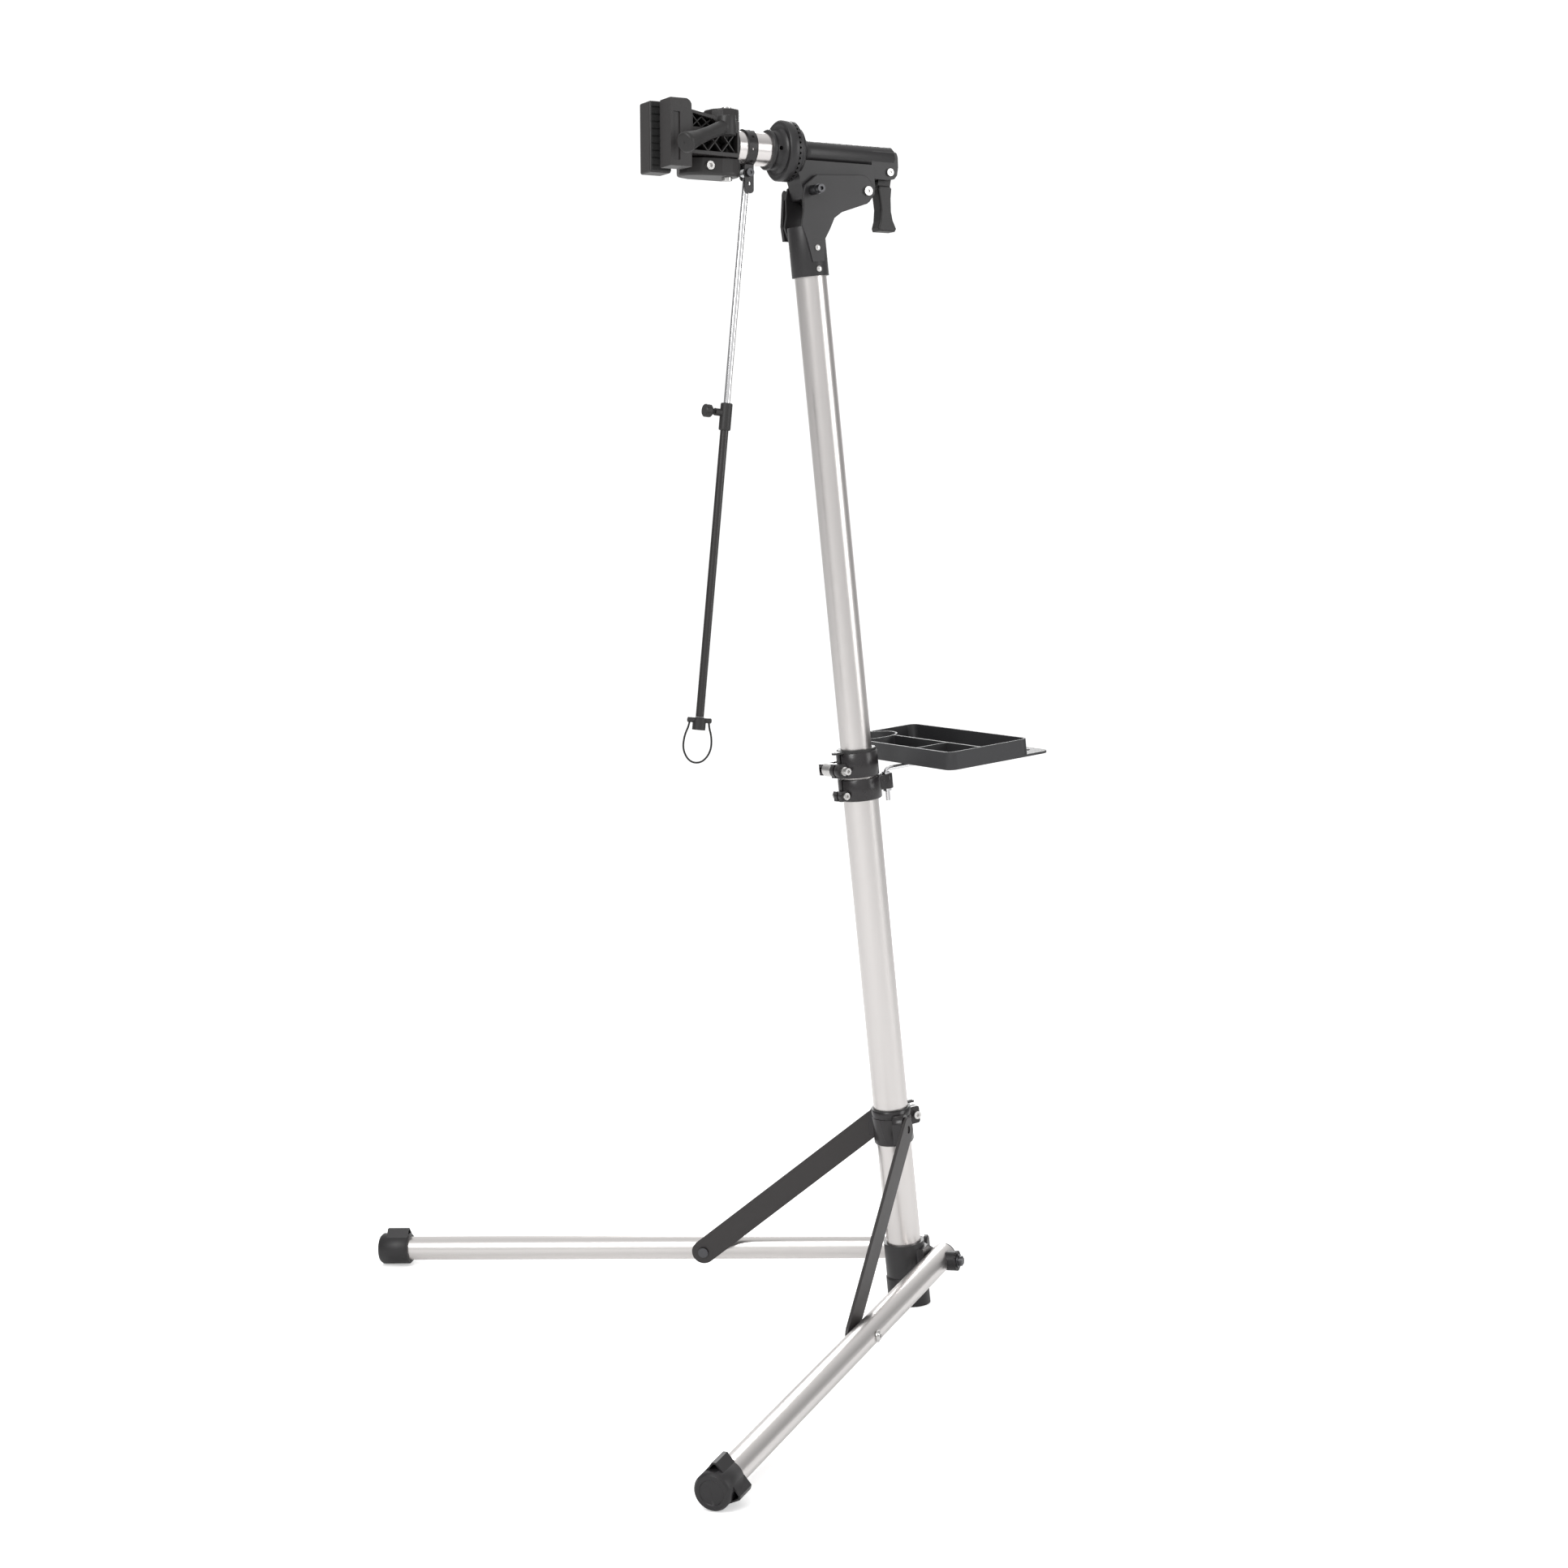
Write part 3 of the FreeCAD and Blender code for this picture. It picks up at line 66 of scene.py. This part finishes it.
def bump(nt, bsdf, src, strength, dist):
    bp = nt.nodes.new("ShaderNodeBump")
    bp.inputs["Strength"].default_value = strength
    bp.inputs["Distance"].default_value = dist
    nt.links.new(src, bp.inputs["Height"])
    nt.links.new(bp.outputs["Normal"], bsdf.inputs["Normal"])


def painted(name, col, rough=0.42, grain=900.0, strength=0.12, spec=0.5):
    m, nt, b = new_mat(name)
    b.inputs["Base Color"].default_value = (*col, 1)
    b.inputs["Specular IOR Level"].default_value = spec
    ns, mp, tc = vary(nt, b, rough, 0.05, 18.0)
    fine = nt.nodes.new("ShaderNodeTexNoise")
    fine.inputs["Scale"].default_value = grain
    fine.inputs["Detail"].default_value = 2.0
    nt.links.new(tc.outputs["Object"], fine.inputs["Vector"])
    bump(nt, b, fine.outputs["Fac"], strength, 0.0002)
    return m


def metal(name, col, rough, stretch, scale, strength=0.05, spread=0.05):
    m, nt, b = new_mat(name)
    b.inputs["Base Color"].default_value = (*col, 1)
    b.inputs["Metallic"].default_value = 1.0
    ns, mp, tc = vary(nt, b, rough, spread, scale, stretch=stretch)
    bump(nt, b, ns.outputs["Fac"], strength, 0.0001)
    return m


ALU = metal("anodised_mast", (0.66, 0.635, 0.622), 0.30, (60, 60, 1.2), 14.0, 0.03)
ALU_LEG = metal("anodised_leg", (0.66, 0.635, 0.622), 0.30, (1.2, 1.2, 60), 14.0, 0.03)
ALU_SPIN = metal("anodised_spindle", (0.70, 0.67, 0.66), 0.24, (1.2, 60, 60), 14.0, 0.02)
CHROME = metal("polished_chrome", (0.72, 0.72, 0.73), 0.09, (1, 1, 1), 60.0, 0.01, 0.03)
ZINC = metal("zinc_hardware", (0.60, 0.59, 0.58), 0.26, (1, 1, 1), 120.0, 0.05, 0.08)
BLACK_HW = metal("black_oxide", (0.10, 0.10, 0.105), 0.38, (1, 1, 1), 160.0, 0.05, 0.08)
COAT = painted("black_powder_coat", (0.016, 0.015, 0.016), 0.40, 1100.0, 0.10, 0.5)
COAT_SEMI = painted("semi_gloss_coat", (0.017, 0.015, 0.016), 0.27, 900.0, 0.05, 0.5)
STRUT = painted("strut_coat", (0.024, 0.021, 0.021), 0.42, 900.0, 0.06, 0.5)
TRAY = painted("tray_plastic", (0.030, 0.030, 0.032), 0.50, 1500.0, 0.18, 0.4)
PLASTIC = painted("moulded_plastic", (0.018, 0.017, 0.017), 0.46, 1700.0, 0.20, 0.45)
JAW = painted("glass_filled_plastic", (0.020, 0.018, 0.018), 0.40, 1300.0, 0.16, 0.5)
RUBBER = painted("black_rubber", (0.018, 0.018, 0.018), 0.62, 1200.0, 0.25, 0.3)
FOOT = painted("foot_plastic", (0.014, 0.013, 0.014), 0.44, 1500.0, 0.15, 0.45)
DARK_TUBE = painted("dark_tube_coat", (0.020, 0.018, 0.018), 0.30, 900.0, 0.04, 0.5)

USE = {}
for n in ("lower_tube", "upper_tube"):
    USE[n] = ALU
for n in ("left_leg_tube", "right_leg_tube"):
    USE[n] = ALU_LEG
USE["spindle_tube"] = ALU_SPIN
for n in ("holder_rod", "tray_rod"):
    USE[n] = CHROME
for n in ("left_strut_bolt", "tray_collar_bolt", "jaw_pin", "jaw_screws", "tilt_bolt", "bracket_rivets",
          "height_skewer", "slide_skewer", "lock_bolt"):
    USE[n] = ZINC
for n in ("right_strut_bolt", "tilt_skewer", "strap_bolt", "left_leg_bolt", "right_leg_bolt", "tension_rod", "lock_shaft"):
    USE[n] = BLACK_HW
for n in ("left_strut", "right_strut"):
    USE[n] = STRUT
for n in ("leg_bracket", "head_housing", "rear_index_ring", "front_index_ring", "head_bracket"):
    USE[n] = COAT
for n in ("height_collar", "tray_collar", "slide_collar", "rod_strap", "tilt_lever", "height_lever", "slide_lever"):
    USE[n] = COAT_SEMI
USE["tool_tray"] = TRAY
USE["holder_tube"] = DARK_TUBE
for n in ("height_bush", "slide_bush", "mast_glide", "holder_sleeve", "holder_end", "holder_knob", "lock_lever", "jaw_knob", "jaw_lever"):
    USE[n] = PLASTIC
for n in ("near_jaw", "fixed_jaw"):
    USE[n] = JAW
for n in ("far_jaw_pad", "near_jaw_pad", "holder_cord"):
    USE[n] = RUBBER
for n in ("mast_foot", "left_leg_cap", "right_leg_cap", "left_leg_plug", "right_leg_plug", "left_leg_saddle", "right_leg_saddle"):
    USE[n] = FOOT

for name, o in NODES.items():
    m = USE.get(name, PLASTIC)
    if not o.material_slots:
        o.data.materials.append(m)
    for s in o.material_slots:
        s.material = m

BEVEL = {"near_jaw": 0.0009, "fixed_jaw": 0.0012, "tool_tray": 0.0006, "leg_bracket": 0.0012, "head_housing": 0.0010,
         "height_collar": 0.0008, "tray_collar": 0.0008, "slide_collar": 0.0010, "left_leg_cap": 0.0008, "right_leg_cap": 0.0008,
         "height_lever": 0.0016, "lock_lever": 0.0010, "jaw_lever": 0.0010, "head_bracket": 0.0006, "front_index_ring": 0.0006}
for name, w in BEVEL.items():
    o = NODES.get(name)
    if o:
        w1 = o.modifiers.new("weld", "WELD")
        w1.merge_threshold = 0.00001
        bv = o.modifiers.new("edge", "BEVEL")
        bv.width = w
        bv.segments = 2
        bv.limit_method = "ANGLE"
        bv.angle_limit = math.radians(50)
        bv.harden_normals = False
        bv.use_clamp_overlap = True


# ------------------------------------------------------------- elastic loop
T = math.radians(-5.98)
ROD = Matrix.Translation((0.236, 0.002, 1.447)) @ Matrix.Rotation(T, 4, "Y")
CP = [(-13.2, -666), (-13.2, -674), (-19.0, -688), (-19.5, -706), (-8.5, -720.5), (8.5, -720.5), (19.5, -706), (19.0, -688),
      (13.2, -674), (13.2, -666)]
cu = bpy.data.curves.new("elastic_loop", "CURVE")
cu.dimensions = "3D"
cu.bevel_depth = 0.0012
cu.bevel_resolution = 4
cu.resolution_u = 16
cu.use_fill_caps = True
sp = cu.splines.new("NURBS")
sp.points.add(len(CP) - 1)
for p, (x, z) in zip(sp.points, CP):
    v = ROD @ Vector((x / 1000, 0, z / 1000))
    p.co = (v.x, v.y, v.z, 1)
sp.order_u = 3
sp.use_endpoint_u = True
loop = bpy.data.objects.new("elastic_loop", cu)
bpy.context.scene.collection.objects.link(loop)
cu.materials.append(RUBBER)
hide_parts("holder_cord")
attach(loop, "holder_lower")


def spline_len(pts):
    # sampled length of the quadratic clamped B-spline through these control points
    n = len(pts)
    deg = 2
    knots = [0] * 3 + list(range(1, n - 2)) + [n - 2] * 3

    def basis(i, d, t):
        if d == 0:
            return 1.0 if knots[i] <= t < knots[i + 1] else 0.0
        a = b = 0.0
        if knots[i + d] != knots[i]:
            a = (t - knots[i]) / (knots[i + d] - knots[i]) * basis(i, d - 1, t)
        if knots[i + d + 1] != knots[i + 1]:
            b = (knots[i + d + 1] - t) / (knots[i + d + 1] - knots[i + 1]) * basis(i + 1, d - 1, t)
        return a + b

    prev, total = None, 0.0
    for k in range(801):
        t = min((n - 2) * k / 800.0, n - 2 - 1e-9)
        x = sum(basis(i, deg, t) * pts[i][0] for i in range(n))
        z = sum(basis(i, deg, t) * pts[i][1] for i in range(n))
        if prev:
            total += math.hypot(x - prev[0], z - prev[1])
        prev = (x, z)
    return total / 1000.0


spline_len(CP)


# ------------------------------------------------------------- crossed ribs in the jaw recesses
def ribs(name, cells, y0, y1, t, ride):
    vs, fs = [], []
    for (xa, xb, za, zb, zc, zd) in cells:
        # each cell is an X: (xa, za)-(xb, zd) and (xa, zb)-(xb, zc)
        for (p, q) in (((xa, za), (xb, zd)), ((xa, zb), (xb, zc))):
            d = Vector((q[0] - p[0], q[1] - p[1])).normalized()
            n = Vector((-d.y, d.x)) * (t / 2)
            base = len(vs)
            for y in (y0, y1):
                for (px, pz) in ((p[0] - n.x, p[1] - n.y), (q[0] - n.x, q[1] - n.y), (q[0] + n.x, q[1] + n.y), (p[0] + n.x, p[1] + n.y)):
                    vs.append((px / 1000, y / 1000, pz / 1000))
            fs += [tuple(base + k for k in f) for f in ((0, 1, 2, 3), (7, 6, 5, 4), (0, 4, 5, 1), (1, 5, 6, 2), (2, 6, 7, 3), (3, 7, 4, 0))]
    me = bpy.data.meshes.new(name)
    me.from_pydata(vs, [], fs)
    me.validate()
    o = bpy.data.objects.new(name, me)
    bpy.context.scene.collection.objects.link(o)
    me.materials.append(JAW)
    bv = o.modifiers.new("edge", "BEVEL")
    bv.width = 0.0003
    bv.segments = 2
    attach(o, ride)
    return o


ribs("near_jaw_ribs", [(265.5, 283.5, 1465.6, 1488.0, 1465.6, 1488.0), (283.5, 302.0, 1465.6, 1488.0, 1465.8, 1488.0),
                       (302.0, 321.0, 1465.8, 1488.0, 1466.2, 1488.0), (297.5, 310.5, 1493.0, 1503.0, 1493.0, 1505.2),
                       (310.5, 323.5, 1493.0, 1505.2, 1493.0, 1507.4)], 10.8, 29.0, 1.5, "near_jaw_arm")
ribs("far_jaw_ribs", [(266.3, 281.9, 1464.4, 1483.6, 1464.4, 1483.6), (281.9, 297.7, 1464.4, 1483.6, 1464.4, 1483.6),
                      (301.3, 316.0, 1464.4, 1483.6, 1464.4, 1483.6), (316.0, 330.7, 1464.4, 1483.6, 1464.4, 1483.6),
                      (304.3, 317.5, 1488.4, 1506.6, 1488.4, 1506.6), (317.5, 330.7, 1488.4, 1506.6, 1488.4, 1506.6)],
     -31.0, -13.8, 1.5, "spindle")


# ------------------------------------------------------------- stage
def plane(name, size, loc):
    me = bpy.data.meshes.new(name)
    s = size / 2
    me.from_pydata([(-s, -s, 0), (s, -s, 0), (s, s, 0), (-s, s, 0)], [], [(0, 1, 2, 3)])
    o = bpy.data.objects.new(name, me)
    o.location = loc
    bpy.context.scene.collection.objects.link(o)
    return o


fm, nt, b = new_mat("studio_floor")
b.inputs["Base Color"].default_value = (0.93, 0.93, 0.93, 1)
b.inputs["Roughness"].default_value = 0.85
b.inputs["Specular IOR Level"].default_value = 0.1
b.inputs["Emission Color"].default_value = (1, 1, 1, 1)
flp = nt.nodes.new("ShaderNodeLightPath")
fmul = nt.nodes.new("ShaderNodeMath")
fmul.operation = "MULTIPLY"
fmul.inputs[1].default_value = 0.42
nt.links.new(flp.outputs["Is Camera Ray"], fmul.inputs[0])
nt.links.new(fmul.outputs["Value"], b.inputs["Emission Strength"])
floor = plane("studio_floor", 60.0, (0, 0, -0.0004))
floor.data.materials.append(fm)

world = bpy.data.worlds.new("studio")
world.use_nodes = True
wnt = world.node_tree
wbg = wnt.nodes["Background"]
wbg.inputs["Color"].default_value = (1, 1, 1, 1)
wlp = wnt.nodes.new("ShaderNodeLightPath")
wmr = wnt.nodes.new("ShaderNodeMapRange")
wtc = wnt.nodes.new("ShaderNodeTexCoord")
wdot = wnt.nodes.new("ShaderNodeVectorMath")
wdot.operation = "DOT_PRODUCT"
wdot.inputs[1].default_value = (-0.878, 0.479, 0.0)
wabs = wnt.nodes.new("ShaderNodeMath")
wabs.operation = "ABSOLUTE"
wside = wnt.nodes.new("ShaderNodeMapRange")
wside.interpolation_type = "SMOOTHSTEP"
wside.inputs["From Min"].default_value = 0.30
wside.inputs["From Max"].default_value = 0.95
wside.inputs["To Min"].default_value = 0.90
wside.inputs["To Max"].default_value = 0.34
wnt.links.new(wtc.outputs["Generated"], wdot.inputs[0])
wnt.links.new(wdot.outputs["Value"], wabs.inputs[0])
wnt.links.new(wabs.outputs["Value"], wside.inputs["Value"])
wnt.links.new(wside.outputs["Result"], wmr.inputs["To Min"])
wmr.inputs["To Max"].default_value = 1.1
wnt.links.new(wlp.outputs["Is Camera Ray"], wmr.inputs["Value"])
wnt.links.new(wmr.outputs["Result"], wbg.inputs["Strength"])
bpy.context.scene.view_settings.view_transform = "Standard"
bpy.context.scene.world = world


def area(name, loc, target, size, power, size_y=None):
    l = bpy.data.lights.new(name, "AREA")
    l.energy = power
    l.size = size
    if size_y:
        l.shape = "RECTANGLE"
        l.size_y = size_y
    o = bpy.data.objects.new(name, l)
    o.location = loc
    d = Vector(target) - Vector(loc)
    o.rotation_euler = d.to_track_quat("-Z", "Y").to_euler()
    bpy.context.scene.collection.objects.link(o)
    return o


area("key", (3.4, 1.6, 3.2), (0.1, 0, 0.9), 1.6, 90, 2.4)
area("fill", (-2.4, 3.0, 1.9), (0.1, 0, 0.8), 1.6, 45, 2.4)
area("rim", (-1.8, -3.2, 2.6), (0.1, 0, 1.0), 1.4, 60, 2.0)

# ------------------------------------------------------------- camera
cam = bpy.data.cameras.new("camera")
cam.sensor_width = 36.0
cam.lens = 57.0
cam.clip_end = 100
co = bpy.data.objects.new("camera", cam)
F = Vector((-0.47628, -0.87322, -0.10317)).normalized()
R0 = F.cross(Vector((0, 0, 1))).normalized()
U0 = R0.cross(F)
ro = -0.0038
R = R0 * math.cos(ro) + U0 * math.sin(ro)
U = U0 * math.cos(ro) - R0 * math.sin(ro)
M = Matrix(((R.x, U.x, -F.x, 1.67398), (R.y, U.y, -F.y, 2.72761), (R.z, U.z, -F.z, 1.01945), (0, 0, 0, 1)))
co.matrix_world = M
bpy.context.scene.collection.objects.link(co)
bpy.context.scene.camera = co
